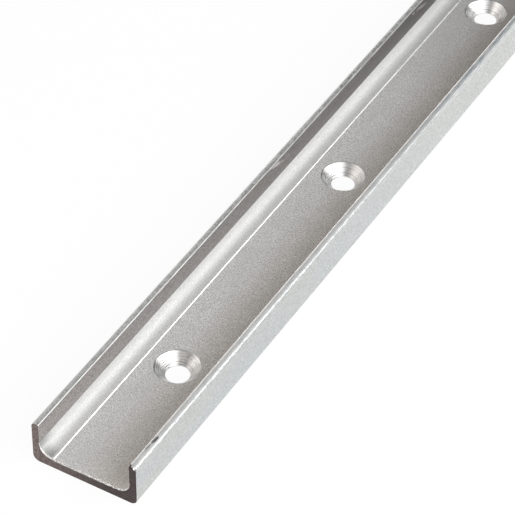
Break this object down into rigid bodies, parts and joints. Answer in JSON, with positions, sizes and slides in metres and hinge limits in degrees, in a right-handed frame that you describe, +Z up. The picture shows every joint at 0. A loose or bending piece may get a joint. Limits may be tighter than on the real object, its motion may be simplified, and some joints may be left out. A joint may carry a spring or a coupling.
{
  "type": "linear guide rail",
  "caption": "Straight steel channel rail with flat inner raceways, relief grooves below them and countersunk screw holes along its web, on which a roller slider runs.",
  "frame": {"origin": "middle of the rail's flat underside, half way along its length", "axes": "+Y along the rail, +X across it, +Z up out of the open side of the channel"},
  "size_m": [0.028, 0.32, 0.012],
  "materials": {
    "rail_steel": "satin"
  },
  "bodies": {
    "root": {"guide_rail": "rail_steel"}
  },
  "joints": []
}
